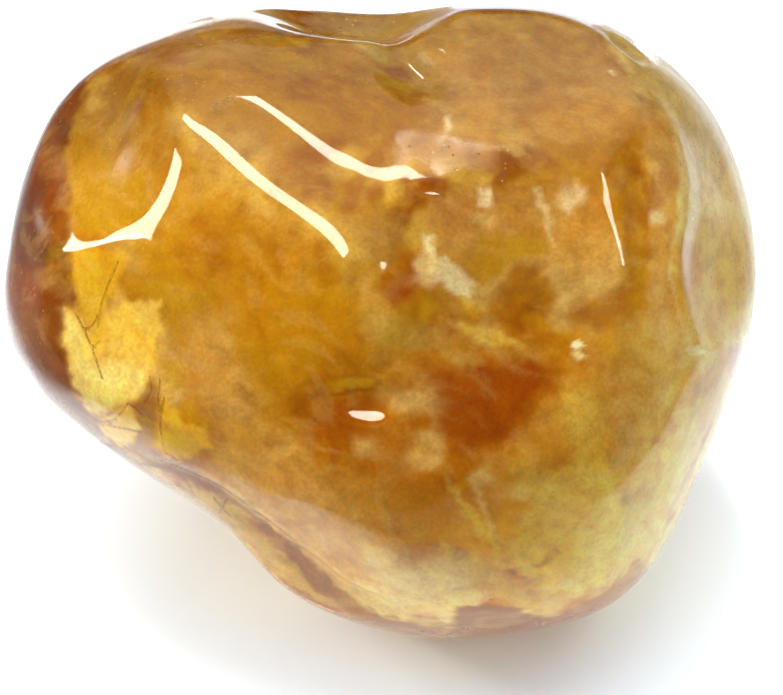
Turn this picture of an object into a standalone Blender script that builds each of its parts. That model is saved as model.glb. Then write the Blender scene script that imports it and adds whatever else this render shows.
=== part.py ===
"""A tumbled quartz stone: one solid, worn smooth, that rests on a small flat spot.

The stone is shaped in its own front view, in millimetres: x to the right, up, and
near, which points at the viewer. Its front outline is swelled into a full body,
flat faces that the tumbling left are planed off it, and folds, steps and chips are
pressed in. The body is then tipped back to the pose it rests in, and worn flat
where it touches the ground.
"""

import math

import bpy
import bmesh
import numpy as np

MM = 0.001

# Driving dimensions of the body, in millimetres
NEAR_DEPTH = 11.2
FAR_DEPTH = 12.6
FULLNESS = 2.3
LEAN = 0.2
TIP_BACK = math.radians(40.0)
FLAT_DEPTH = 0.75
FLAT_ROUNDING = 0.15

# Front outline: angle from the right-hand side, in degrees, and distance from the
# middle of the stone, in millimetres
OUTLINE = (
    (0, 14.65),
    (15, 15.15),
    (35, 15.5),
    (55, 14.5),
    (75, 13.05),
    (92, 12.4),
    (104, 12.8),
    (122, 14.25),
    (142, 15.55),
    (165, 15.4),
    (184, 15.05),
    (192, 14.4),
    (200, 12.9),
    (212, 11.45),
    (230, 10.6),
    (250, 11.5),
    (270, 12.4),
    (290, 13.4),
    (311, 14.45),
    (330, 13.95),
    (345, 13.95),
)

# Flat faces: name, turn to the right and rise above the viewer's line, in degrees,
# how much is planed off and how softly the edge is rounded, in millimetres
FACES = (
    ("front", 8, -2, 0.75, 0.45),
    ("right_lobe_top", 14, 45, 0.7, 0.5),
    ("lower_front", 14, -38, 0.6, 0.7),
    ("window", -32, -12, 0.8, 0.6),
    ("nose_top", -45, 23, 0.85, 0.35),
    ("brow", -14, 42, 0.55, 0.5),
    ("under_left", -42, -52, 0.7, 0.5),
    ("right_flank", 62, 6, 0.7, 0.5),
    ("back", 172, 12, 0.9, 0.7),
    ("back_left", -128, -6, 1.0, 0.7),
    ("back_right", 118, 28, 0.8, 0.6),
    ("back_top", -160, 55, 0.9, 0.8),
)

LEAST_SLANT = 0.2  # a face is left out where it would meet the body at less than this cosine

# Folds pressed into the front: a path of (x, up) points, the profile across it as
# (distance to the left of the path, height) points, the rounding of its corners and
# the length over which it fades at each end, all in millimetres
FOLDS = {
    "cheek_ridge": (
        ((-10.6, 8.2), (-8.0, 7.7), (-6.2, 6.4), (-3.8, 4.6), (-1.8, 2.8), (0.3, 1.2)),
        ((-3.2, 0.0), (0.0, 0.42), (2.5, -0.4), (4.6, 0.0)),
        0.2,
        2.0,
    ),
    "parting": (
        ((-0.6, 12.0), (0.5, 10.75), (1.6, 9.7), (2.3, 8.7), (2.7, 7.2)),
        ((-1.6, 0.0), (0.0, -0.55), (1.3, 0.0)),
        0.15,
        1.6,
    ),
    "collar": (
        (
            (8.6, 9.9),
            (10.1, 9.2),
            (11.0, 8.3),
            (11.75, 6.8),
            (12.0, 4.6),
            (11.6, 2.2),
            (11.9, 0.3),
            (12.8, -2.0),
        ),
        ((-1.4, 0.0), (-0.25, 0.14), (0.35, -0.32), (1.6, -0.34), (3.4, 0.0)),
        0.12,
        1.5,
    ),
    "undercut": (
        ((-10.4, -5.4), (-7.4, -6.4), (-5.4, -7.8), (-3.4, -9.5), (-1.6, -10.9), (1.2, -12.0)),
        ((-2.4, 0.0), (-0.7, -0.02), (-0.05, -0.28), (0.5, 0.2), (2.4, 0.0)),
        0.12,
        2.0,
    ),
    "right_crease": (
        ((8.0, 6.6), (8.6, 5.3), (9.1, 3.8), (9.35, 2.4), (9.3, 1.0)),
        ((-0.9, 0.0), (0.0, 0.1), (0.9, 0.0)),
        0.2,
        1.0,
    ),
}

FRONT_FADE = 1.5  # depth over which the folds fade out at the outline, in millimetres

# Dents: the direction of the middle as (x, up, near), half length, half width and
# depth in millimetres, and the turn of the long side from level, in degrees
DENTS = {
    "top_hollow": ((-1.1, 12.0, 2.6), 3.0, 2.3, 1.0, -20),
    "nose_dish": ((-11.0, 5.3, 6.8), 2.4, 2.0, 0.22, -10),
    "right_chip": ((9.4, 10.7, 3.2), 1.1, 0.7, 0.3, -50),
    "middle_dimple": ((2.4, 2.2, 11.0), 1.3, 0.8, 0.12, -55),
    "lower_dimple": ((-1.1, -3.6, 11.0), 1.4, 0.7, 0.12, 10),
    "back_hollow": ((4.0, -3.0, -12.0), 4.5, 3.2, 0.7, 25),
    "back_dish": ((-7.5, 5.0, -9.0), 3.6, 2.6, 0.5, -35),
}

# Slow waves left in the polish: how many, their height and their shortest and
# longest length, in millimetres
WAVES = 9
WAVE_HEIGHT = 0.035
WAVE_LENGTHS = (4.5, 11.0)
WAVE_SEED = 7

CELLS = 24  # squares along each edge of the cube that the body starts from


def outline_radius(angle):
    """Distance from the middle to the front outline, on a smooth closed curve."""
    knots = np.radians([a for a, _ in OUTLINE])
    radii = np.array([r for _, r in OUTLINE])
    turn = 2 * math.pi
    knots = np.concatenate([knots[-2:] - turn, knots, knots[:2] + turn])
    radii = np.concatenate([radii[-2:], radii, radii[:2]])
    slopes = np.gradient(radii, knots)
    wrapped = np.mod(angle, turn)
    i = np.searchsorted(knots, wrapped, side="right") - 1
    width = knots[i + 1] - knots[i]
    t = (wrapped - knots[i]) / width
    return (
        radii[i] * (1 + 2 * t) * (1 - t) ** 2
        + radii[i + 1] * t**2 * (3 - 2 * t)
        + slopes[i] * width * t * (1 - t) ** 2
        - slopes[i + 1] * width * t**2 * (1 - t)
    )


def swelled_outline(direction):
    """The plain body: the front outline, swelled towards and away from the viewer."""
    x, up, near = direction.T
    across = np.hypot(x, up)
    depth = np.abs(near)
    stretch = (across**FULLNESS + depth**FULLNESS) ** (-1 / FULLNESS)
    angle = np.arctan2(up, x)
    reach = outline_radius(angle) * across * stretch
    half = np.where(near > 0, NEAR_DEPTH, FAR_DEPTH)
    return np.stack([reach * np.cos(angle), reach * np.sin(angle), near * half * stretch], 1)


def soft_least(a, b, rounding):
    """The smaller of two distances, with the corner between them rounded."""
    overlap = np.clip(rounding - np.abs(a - b), 0, None) / rounding
    return np.minimum(a, b) - overlap**3 * rounding / 6


def facing(turn, rise):
    """The unit direction that faces so far right of, and above, the viewer."""
    turn, rise = math.radians(turn), math.radians(rise)
    return np.array(
        [math.cos(rise) * math.sin(turn), math.sin(rise), math.cos(rise) * math.cos(turn)]
    )


def plane_faces(body):
    """Cuts the flat faces into the body."""
    plain = body.copy()
    for _, turn, rise, cut, rounding in FACES:
        normal = facing(turn, rise)
        plane = (plain @ normal).max() - cut
        length = np.linalg.norm(body, axis=1)
        slant = np.maximum(body @ normal / length, LEAST_SLANT)
        body = body * (soft_least(length, plane / slant, rounding) / length)[:, None]
    return body


def soft_corner(distance, rounding):
    """Zero up to a corner and rising evenly after it, with the corner rounded."""
    return (distance + np.sqrt(distance**2 + rounding**2)) / 2


def profile_height(across, profile, rounding):
    """Height of a fold's profile, straight between its points, with rounded corners."""
    offsets = np.array([p[0] for p in profile])
    heights = np.array([p[1] for p in profile])
    slopes = np.concatenate([[0], np.diff(heights) / np.diff(offsets), [0]])
    height = np.zeros_like(across)
    for offset, change in zip(offsets, np.diff(slopes)):
        height += change * soft_corner(across - offset, rounding)
    return height


def smooth_path(points, steps=6):
    """A curve through the points, as a fine line."""
    points = np.array(points)
    slopes = np.gradient(points, axis=0)
    t = np.linspace(0, 1, steps, endpoint=False)[:, None]
    line = [
        a * (1 + 2 * t) * (1 - t) ** 2
        + b * t**2 * (3 - 2 * t)
        + sa * t * (1 - t) ** 2
        - sb * t**2 * (1 - t)
        for a, b, sa, sb in zip(points, points[1:], slopes, slopes[1:])
    ]
    return np.concatenate([*line, points[-1:]])


def ease(share):
    """Rises smoothly from 0 to 1."""
    share = np.clip(share, 0, 1)
    return share * share * (3 - 2 * share)


def across_and_along(flat, line):
    """Distance to the left of the line, distance along it, and its whole length."""
    steps = np.diff(line, axis=0)
    lengths = np.linalg.norm(steps, axis=1)
    starts = np.concatenate([[0], np.cumsum(lengths)])
    nearest = np.full(len(flat), np.inf)
    across = np.zeros(len(flat))
    along = np.zeros(len(flat))
    for start, step, length, travelled in zip(line, steps, lengths, starts):
        offset = flat - start
        share = np.clip(offset @ step / length**2, 0, 1)
        gap = np.linalg.norm(offset - share[:, None] * step, axis=1)
        side = np.sign(step[0] * offset[:, 1] - step[1] * offset[:, 0])
        closer = gap < nearest
        nearest = np.where(closer, gap, nearest)
        across = np.where(closer, side * gap, across)
        along = np.where(closer, travelled + share * length, along)
    return across, along, starts[-1]


def fold_height(body):
    """How far the folds lift the front of the stone."""
    flat = body[:, :2]
    total = np.zeros(len(body))
    for path, profile, rounding, fade in FOLDS.values():
        across, along, whole = across_and_along(flat, smooth_path(path))
        ends = ease(along / fade) * ease((whole - along) / fade)
        total += ends * profile_height(across, profile, rounding)
    return total * ease(body[:, 2] / FRONT_FADE)


def dent_depth(body):
    """How far the dents press the stone in."""
    direction = body / np.linalg.norm(body, axis=1)[:, None]
    total = np.zeros(len(body))
    for middle, half_length, half_width, depth, turn in DENTS.values():
        middle = np.array(middle)
        far = np.linalg.norm(middle)
        outward = middle / far
        level = np.cross([0, 0, 1], outward)
        level /= np.linalg.norm(level)
        level *= -np.sign(outward[1])
        rising = np.cross(outward, level)
        turn = math.radians(turn)
        long_side = math.cos(turn) * level + math.sin(turn) * rising
        short_side = np.cross(outward, long_side)
        offset = (direction - outward) * far
        reach = np.hypot(offset @ long_side / half_length, offset @ short_side / half_width)
        same_side = direction @ outward > 0
        total += np.where(same_side, depth * np.exp(-(reach**4)), 0)
    return total


def wave_height(body):
    """The slow unevenness of the polished surface."""
    random = np.random.default_rng(WAVE_SEED)
    total = np.zeros(len(body))
    for length in np.linspace(*WAVE_LENGTHS, WAVES):
        travel = random.normal(size=3)
        travel *= 2 * math.pi / length / np.linalg.norm(travel)
        total += WAVE_HEIGHT * np.sin(body @ travel + random.uniform(0, 2 * math.pi))
    return total


def stone_points(direction):
    """Every point of the stone in its rest pose, in metres."""
    body = plane_faces(swelled_outline(direction))
    lift = fold_height(body) - dent_depth(body) + wave_height(body)
    body = body * (1 + lift / np.linalg.norm(body, axis=1))[:, None]
    x, up, near = body.T
    near = near - LEAN * up
    y = up * math.sin(TIP_BACK) - near * math.cos(TIP_BACK)
    z = up * math.cos(TIP_BACK) + near * math.sin(TIP_BACK)
    z = z - z.min() - FLAT_DEPTH
    rounded = np.clip(z + FLAT_ROUNDING, 0, None) ** 2 / (4 * FLAT_ROUNDING)
    z = np.where(z < FLAT_ROUNDING, rounded, z)
    points = np.stack([x, y, z], 1)
    middle = (points.min(0) + points.max(0)) / 2
    middle[2] = 0
    return (points - middle) * MM


def round_cube(cells):
    """A cube's surface cut in even squares, and the direction of each of its points."""
    mesh = bpy.data.meshes.new("stone")
    grid = bmesh.new()
    bmesh.ops.create_cube(grid, size=2)
    bmesh.ops.subdivide_edges(
        grid, edges=grid.edges[:], cuts=cells - 1, use_grid_fill=True
    )
    grid.to_mesh(mesh)
    grid.free()
    corners = np.empty(len(mesh.vertices) * 3)
    mesh.vertices.foreach_get("co", corners)
    even = np.tan(corners.reshape(-1, 3) * math.pi / 4)
    return mesh, even / np.linalg.norm(even, axis=1)[:, None]


def quartz_material():
    """Polished honey-coloured quartz."""
    material = bpy.data.materials.new("honey_quartz")
    material.use_nodes = True
    shader = material.node_tree.nodes["Principled BSDF"]
    shader.inputs["Base Color"].default_value = (0.62, 0.29, 0.045, 1)
    shader.inputs["Roughness"].default_value = 0.12
    shader.inputs["Metallic"].default_value = 0.0
    shader.inputs["IOR"].default_value = 1.55
    return material


def make_stone(cells=CELLS):
    """The stone as one smooth-shaded object."""
    mesh, direction = round_cube(cells)
    mesh.vertices.foreach_set("co", stone_points(direction).ravel())
    mesh.shade_smooth()
    mesh.update()
    stone = bpy.data.objects.new("stone", mesh)
    stone.data.materials.append(quartz_material())
    return stone


def main():
    for old in list(bpy.data.objects):
        bpy.data.objects.remove(old)
    collection = bpy.data.collections.new("tumbled_stone")
    bpy.context.scene.collection.children.link(collection)
    collection.objects.link(make_stone())


main()
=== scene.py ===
"""The finished look of a tumbled honey quartz stone, on a pale studio floor.

The stone is shaped in its own front view, in millimetres: x to the right, up, and
near, which points at the viewer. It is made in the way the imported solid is, but in
fine squares and with the front's relief redrawn, so some faces, folds and dents are not
the solid's, and it is then fitted to the solid's box. Its colours are painted on the
points: the marks where the camera's frame shows them, and the clouds in the body's own
view. The shader adds the fine grain.
"""

import math

import bmesh
import bpy
import numpy as np
from mathutils import Color, Matrix, Vector, noise


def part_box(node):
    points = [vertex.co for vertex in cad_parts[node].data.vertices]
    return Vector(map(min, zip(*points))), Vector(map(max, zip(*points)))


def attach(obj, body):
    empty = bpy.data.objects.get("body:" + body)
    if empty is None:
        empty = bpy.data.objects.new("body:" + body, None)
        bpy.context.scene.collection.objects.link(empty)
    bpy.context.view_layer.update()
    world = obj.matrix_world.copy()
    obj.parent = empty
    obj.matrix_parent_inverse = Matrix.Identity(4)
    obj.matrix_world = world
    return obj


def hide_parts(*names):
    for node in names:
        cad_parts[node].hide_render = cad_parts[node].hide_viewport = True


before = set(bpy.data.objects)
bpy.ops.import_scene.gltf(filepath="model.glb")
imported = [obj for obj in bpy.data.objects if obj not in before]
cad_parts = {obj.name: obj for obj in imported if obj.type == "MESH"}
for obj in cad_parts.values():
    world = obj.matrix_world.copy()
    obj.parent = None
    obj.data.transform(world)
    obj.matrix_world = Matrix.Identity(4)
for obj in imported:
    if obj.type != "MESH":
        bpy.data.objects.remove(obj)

bl_info = {
    "name": "Tumbled Stone",
    "version": (1, 0, 0),
    "blender": (4, 5, 0),
    "location": "3D Viewport > Sidebar > Stone",
    "description": "A polished honey quartz stone and the studio it is seen in",
    "category": "Add Mesh",
}

MM = 0.001

# Driving dimensions of the body: its depth in front of and behind the outline in
# millimetres, how full its sides are, where 2 is an ellipse, how far it leans back for
# each millimetre up, the angle at which the camera looks down on it, and how deep the
# flat below is cut and how softly its edge is rounded, in millimetres
NEAR_DEPTH = 11.2
FAR_DEPTH = 12.6
FULLNESS = 2.3
LEAN = 0.2
TIP_BACK = math.radians(40.0)
FLAT_DEPTH = 0.75
FLAT_ROUNDING = 0.15

# Front outline: angle from the right-hand side, in degrees, and distance from the
# middle of the stone, in millimetres
OUTLINE = (
    (0, 14.65), (15, 15.15), (35, 15.5), (55, 14.5), (75, 13.05), (92, 12.4), (104, 12.8),
    (122, 14.25), (142, 15.75), (165, 15.75), (184, 15.2), (192, 14.4), (200, 13.1), (212, 11.7),
    (230, 10.85), (250, 11.65), (270, 12.4), (290, 13.4), (311, 14.45), (330, 13.95), (345, 13.95),
)

# Flat faces: name, turn to the right and rise above the viewer's line, in degrees,
# how much is planed off and how softly the edge is rounded, in millimetres
FACES = (
    ("front", 8, -2, 0.75, 0.45),
    ("right_lobe_top", 14, 45, 0.7, 0.5),
    ("lower_front", 14, -38, 0.6, 0.7),
    ("window", -32, -12, 0.8, 0.6),
    ("nose_top", -45, 23, 0.85, 0.35),
    ("left_band", -53, 26, 0.45, 0.25),
    ("brow", 10, 50.5, 1.0, 0.3),
    ("under_left", -42, -52, 0.7, 0.5),
    ("right_flank", 62, 6, 0.7, 0.5),
    ("back", 172, 12, 0.9, 0.7),
    ("back_left", -128, -6, 1.0, 0.7),
    ("back_right", 118, 28, 0.8, 0.6),
    ("back_top", -160, 55, 0.9, 0.8),
)

LEAST_SLANT = 0.2  # a face is left out where it would meet the body at less than this cosine

# Folds pressed into the front: a path of (x, up) points, the profile across it as
# (distance to the left of the path, height, rounding of the corner) points and the
# length over which it fades at each end, all in millimetres
FOLDS = {
    "cheek_ridge": (
        (
            (-10.6, 8.9), (-9.2, 8.3), (-7.9, 7.2), (-6.2, 5.7),
            (-3.8, 3.8), (-1.9, 2.1), (-0.4, 0.8), (1.4, -0.7),
        ),
        ((-3.0, 0.0, 2.0), (0.0, 0.42, 1.3), (2.8, 0.0, 2.0)),
        1.6,
    ),
    "brow_ridge": (
        (
            (-8.4, 10.4), (-7.0, 9.6), (-5.6, 8.7), (-3.8, 7.4),
            (-2.0, 6.3), (-0.4, 5.5), (1.4, 4.9), (3.4, 4.2),
        ),
        ((-2.2, 0.0, 1.5), (0.1, 0.28, 1.1), (3.2, -0.45, 2.0), (6.5, 0.0, 2.5)),
        3.0,
    ),
    "gully": (
        ((1.9, 5.4), (1.5, 4.6), (0.7, 3.2), (0.2, 1.8), (0.2, 0.4)),
        ((-1.4, 0.0, 0.8), (0.0, -0.2, 0.5), (0.9, -0.1, 0.5), (2.0, 0.0, 0.8)),
        1.6,
    ),
    "brow_edge": (
        ((1.6, 6.7), (3.0, 6.45), (4.4, 6.6), (5.8, 6.9)),
        ((-1.3, 0.0, 0.3), (0.0, 0.13, 0.15), (1.3, 0.0, 0.3)),
        1.2,
    ),
    "parting": (
        ((-0.6, 12.0), (0.5, 10.75), (1.6, 9.7), (2.3, 8.7)),
        ((-1.6, 0.0, 0.3), (0.0, -0.55, 0.2), (1.3, 0.0, 0.3)),
        1.6,
    ),
    "collar": (
        (
            (8.6, 9.9), (10.1, 9.2), (11.0, 8.3), (11.75, 6.8),
            (12.0, 4.6), (11.6, 2.2), (11.9, 0.3), (12.8, -2.0),
        ),
        (
            (-1.4, 0.0, 0.3), (-0.25, 0.06, 0.2), (0.4, -0.12, 0.2), (1.6, -0.14, 0.3),
            (3.4, 0.0, 0.5),
        ),
        1.5,
    ),
    "undercut": (
        ((-10.4, -5.4), (-7.4, -6.4), (-5.4, -7.8), (-3.4, -9.5), (-1.6, -10.9), (1.2, -12.0)),
        (
            (-2.4, 0.0, 0.3), (-0.7, -0.02, 0.2), (-0.05, -0.28, 0.15), (0.5, 0.2, 0.2),
            (2.4, 0.0, 0.3),
        ),
        2.0,
    ),
    "right_crease": (
        ((8.0, 6.6), (8.6, 5.3), (9.1, 3.8), (9.35, 2.4), (9.3, 1.0)),
        ((-0.9, 0.0, 0.3), (0.0, 0.1, 0.25), (0.9, 0.0, 0.3)),
        1.0,
    ),
}

FRONT_FADE = 1.5  # depth over which the folds fade out at the outline, in millimetres

# Dents: the direction of the middle as (x, up, near), half length, half width and
# depth in millimetres, and the turn of the long side from level, in degrees. One with
# a depth below zero stands out.
DENTS = {
    "top_hollow": ((-1.1, 12.0, 2.6), 3.0, 2.3, 1.0, -20),
    "nose_pad": ((-11.0, 5.0, 6.9), 3.0, 2.0, -0.25, -10),
    "right_chip": ((9.4, 10.7, 3.2), 1.1, 0.7, 0.3, -50),
    "lower_dimple": ((-1.1, -3.35, 11.0), 1.4, 0.7, 0.18, 10),
    "back_hollow": ((4.0, -3.0, -12.0), 4.5, 3.2, 0.7, 25),
    "back_dish": ((-7.5, 5.0, -9.0), 3.6, 2.6, 0.5, -35),
}

# Slow waves left in the polish: how many, their height and their shortest and
# longest length, in millimetres
WAVES = 9
WAVE_HEIGHT = 0.035
WAVE_LENGTHS = (4.5, 11.0)
WAVE_SEED = 7

# The fine mesh: squares along each edge of the cube it starts from, and how far its
# point of view stands towards the viewer, which packs the squares closer in front
CELLS = 128
FRONT_BIAS = 0.35

# The photograph's frame, the real width of one of its pixels at the stone, and how
# far the stone's middle stands left of and above the frame's middle
FRAME_WIDTH = 783
PIXEL = 30.0 / 754
STONE_LEFT_PIXELS = 11.5
STONE_ABOVE_PIXELS = 28.0
SENSOR_WIDTH = 36.0

# Paints: red, green and blue as they show on a screen, from 0 to 255, and how clear
# the quartz is where the paint lies, from 0 to 1
PAINTS = {
    "honey": (200, 148, 58, 0.25),
    "amber": (196, 122, 14, 0.45),
    "amber_deep": (185, 108, 8, 0.45),
    "burnt": (160, 62, 0, 0.4),
    "rust_light": (165, 100, 35, 0.35),
    "umber": (85, 42, 18, 0.6),
    "umber_light": (156, 96, 40, 0.4),
    # The colour of the painted reflection on the left band
    "mauve": (160, 112, 88, 0.3),
    "rose_brown": (175, 115, 62, 0.3),
    "rose": (200, 146, 74, 0.15),
    "tan": (176, 128, 62, 0.3),
    "gold": (240, 184, 44, 0.3),
    "gold_deep": (212, 154, 24, 0.55),
    "gold_dull": (190, 150, 55, 0.25),
    "lemon": (255, 202, 84, 0.12),
    "pale_lemon": (255, 226, 132, 0.08),
    "straw": (218, 180, 76, 0.15),
    "cream": (238, 218, 168, 0.05),
    "milk": (214, 178, 104, 0.1),
    "ochre": (182, 134, 48, 0.3),
    "olive": (188, 154, 78, 0.2),
    "sage": (196, 160, 76, 0.15),
    "smoke": (160, 140, 88, 0.15),
    "band": (138, 70, 16, 0.2),
    # The colour of the painted glints
    "spark": (255, 246, 200, 0.0),
    "pale_straw": (222, 188, 118, 0.1),
    "flank": (218, 188, 110, 0.1),
    "column": (206, 162, 100, 0.15),
}

# The ground of the stone: the sizes of its wide, middle and fine clouds and the shift
# between them, in millimetres
GROUND_LUMPS = (7.0, 3.5, 1.4)
GROUND_SHIFT = 31.7

# The clouds laid over the honey ground: paint, how fully it covers, and how much the
# wide, middle and fine clouds and an even share count in where it lies
GROUND_CLOUDS = (
    ("amber", 1.0, (1.6, 0.0, 0.0, 0.5)),
    ("milk", 0.8, (0.0, 2.2, 0.8, -0.2)),
    ("burnt", 0.8, (0.0, -2.2, -1.2, -0.4)),
    ("straw", 0.7, (-1.8, 0.0, 1.5, -0.5)),
)

FRONT_REACH = 2.5  # how far past the outline the painted marks reach, in millimetres
EDGE_DRIFT = 0.35  # how far the marks' edges wander, in millimetres
DRIFT_LUMPS = (1.7, 0.6)  # how wide the wandering's large and small turns are, in millimetres
EDGE_RAG = 0.2  # how far they fray, in millimetres
RAG_LUMPS = 0.4  # how wide the fraying's turns are, in millimetres
DRIFT_SEED = 7  # keeps the wandering and the fraying the same in each run
EDGE_BLUR = 0.03  # softness that every filled shape has, in millimetres
EDGE_SHARPNESS = 0.8  # how crisp the marks' edges are: their softness is divided by it
BROAD_MARK = 0.6  # half width from which a mark's edges wander fully, in millimetres
CRACK_REACH = 0.5  # distance kept for the cracks, in millimetres

# Slow painted light and shade: the axis (0 across, 1 up), the places between which the
# shade changes, in millimetres, and by what share. The top is darkened as painted shade,
# the right-hand side is lightened as painted light, and the foot is paler.
PAINTED_LIGHT_AND_SHADE = (
    (1, (3.0, 10.0), -0.5),
    (0, (5.0, 12.5), (0.38, 0.44, 0.56)),
    (1, (-3.0, -8.0), 0.25),
)

# Clouds inside the stone: lumps and lengths along, across and into the grain in
# millimetres, turns up from level in degrees, and tints of red, green, blue and
# clearness. A rise says how fast a cloud sets in with the noise and where it starts,
# and a strength how fully it covers.
MOTTLE_LUMPS = 0.6
MOTTLE = (0.26, 0.32, 0.4, 0.4)
VEIL_LUMPS = 2.4
VEIL_RISE = (3.0, 0.0)
VEIL_STRENGTH = 0.5
BEND_LUMPS = 2.8
GRAIN_BEND = 1.3
WISP_TURN = -22
WISP_LENGTHS = (1.9, 0.7, 1.2)
WISP_OCTAVES = 4
WARM_VEIL = (1.1, 1.0, 0.62, 1.0)
DEEP_WISP = (0.9, 0.74, 0.45, 1.1)
DEEP_RISE = (-2.6, -0.1)
MILK_RISE = (2.2, -0.15)
MILK_STRENGTH = 0.7

# The shader's noise: size in millimetres, detail and roughness
GRAIN_LUMPS = (0.16, 2.0, 0.6)
FIBRE_LUMPS = (0.6, 4.0, 0.6)

# Specks where the polish is worn: how far apart, the distances from a speck's middle at
# which it ends and is full, in millimetres, where chance parts the pale specks, which are
# painted glints, from the pits, and how fully each covers
SPECK_SPACING = 0.36
SPECK_EDGES = (0.17, 0.08)
SPECK_CHANCE = (0.49, 0.51)
PAINTED_SPECK_GLINT_STRENGTH = 0.6
PIT_STRENGTH = 0.5

# Cracks: how the width wanders with the grain, softness, the distances at which a crack
# ends and is full, in millimetres, the grain between which it breaks off, how much is
# left there, and how fully it covers
CRACK_WANDER = (0.2, 1.6)
CRACK_SOFTNESS = 0.03
CRACK_EDGES = (0.14, 0.08)
CRACK_BREAKS = (0.4, 0.55)
CRACK_LEFT = 0.3
CRACK_STRENGTH = 0.7

# The surface: what wear and grain add to the roughness, how much the grain lifts it and
# a pit lowers it, how far red, green and blue spread below it, and the clear quartz
WORN_ROUGHNESS = 0.34
GRAIN_ROUGHNESS = 0.03
GRAIN_HEIGHT = 0.25
PIT_HEIGHT = 0.7
GLOW_RADIUS = (1.0, 0.5, 0.15)
CLEAR_COLOUR = (1.0, 0.97, 0.9, 1)

# The stage, in metres
FLOOR_SIZE = 0.4
CARD_DISTANCE = 0.4
STONE_MIDDLE = 0.011
CLIP_START = 0.01
SOFTBOX_SPREAD = math.radians(110)

# A pool of light painted on the paper: its middle, and how far from it the paper is fully
# pale and how far it fades, across and deep, in millimetres, and the share of its paleness
# that the paper has outside. The paper is painted dark there to keep a pale mirror image
# off the stone.
PAINTED_POOL_MIDDLE = (13.0, 20.0)
PAINTED_POOL_ACROSS = (31.0, 40.0)
PAINTED_POOL_DEEP = (45.0, 63.0)
PAINTED_POOL_OUTSIDE = 0.12
PAPER_GLOW = (0.93, 0.97, 1.0)
PAPER_ROUGHNESS = 0.7
FIBRE_TINT = 0.02
FIBRE_RELIEF = 0.02
FIBRE_STRENGTH = 0.3

# Lights: name, the directions of its two ends as turn to the right and rise above the
# viewer's line in degrees, its width in metres, its strength and its colour
TUBE_COLOUR = (1.0, 0.93, 0.78)
CARDS = (
    ("softbox", (0, 50), (180, 55), 0.5, 1.0, (1.0, 0.93, 0.9)),
    ("paper_light", (0, 0), (0, 90), 0.8, 1.0, (0.93, 0.97, 1.0)),
    ("cheek_tube", (-88, 59), (11, 27), 0.04, 1.0, TUBE_COLOUR),
    ("brow_tube", (-110, 82), (12, 60), 0.034, 1.0, TUBE_COLOUR),
    ("nose_tube", (-106, 27), (-66, 17), 0.036, 1.0, TUBE_COLOUR),
    ("nose_corner", (-71, 17), (-71, 36), 0.1, 1.0, TUBE_COLOUR),
    ("right_tube", (49, 46), (40, 21), 0.02, 0.85, TUBE_COLOUR),
)

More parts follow.
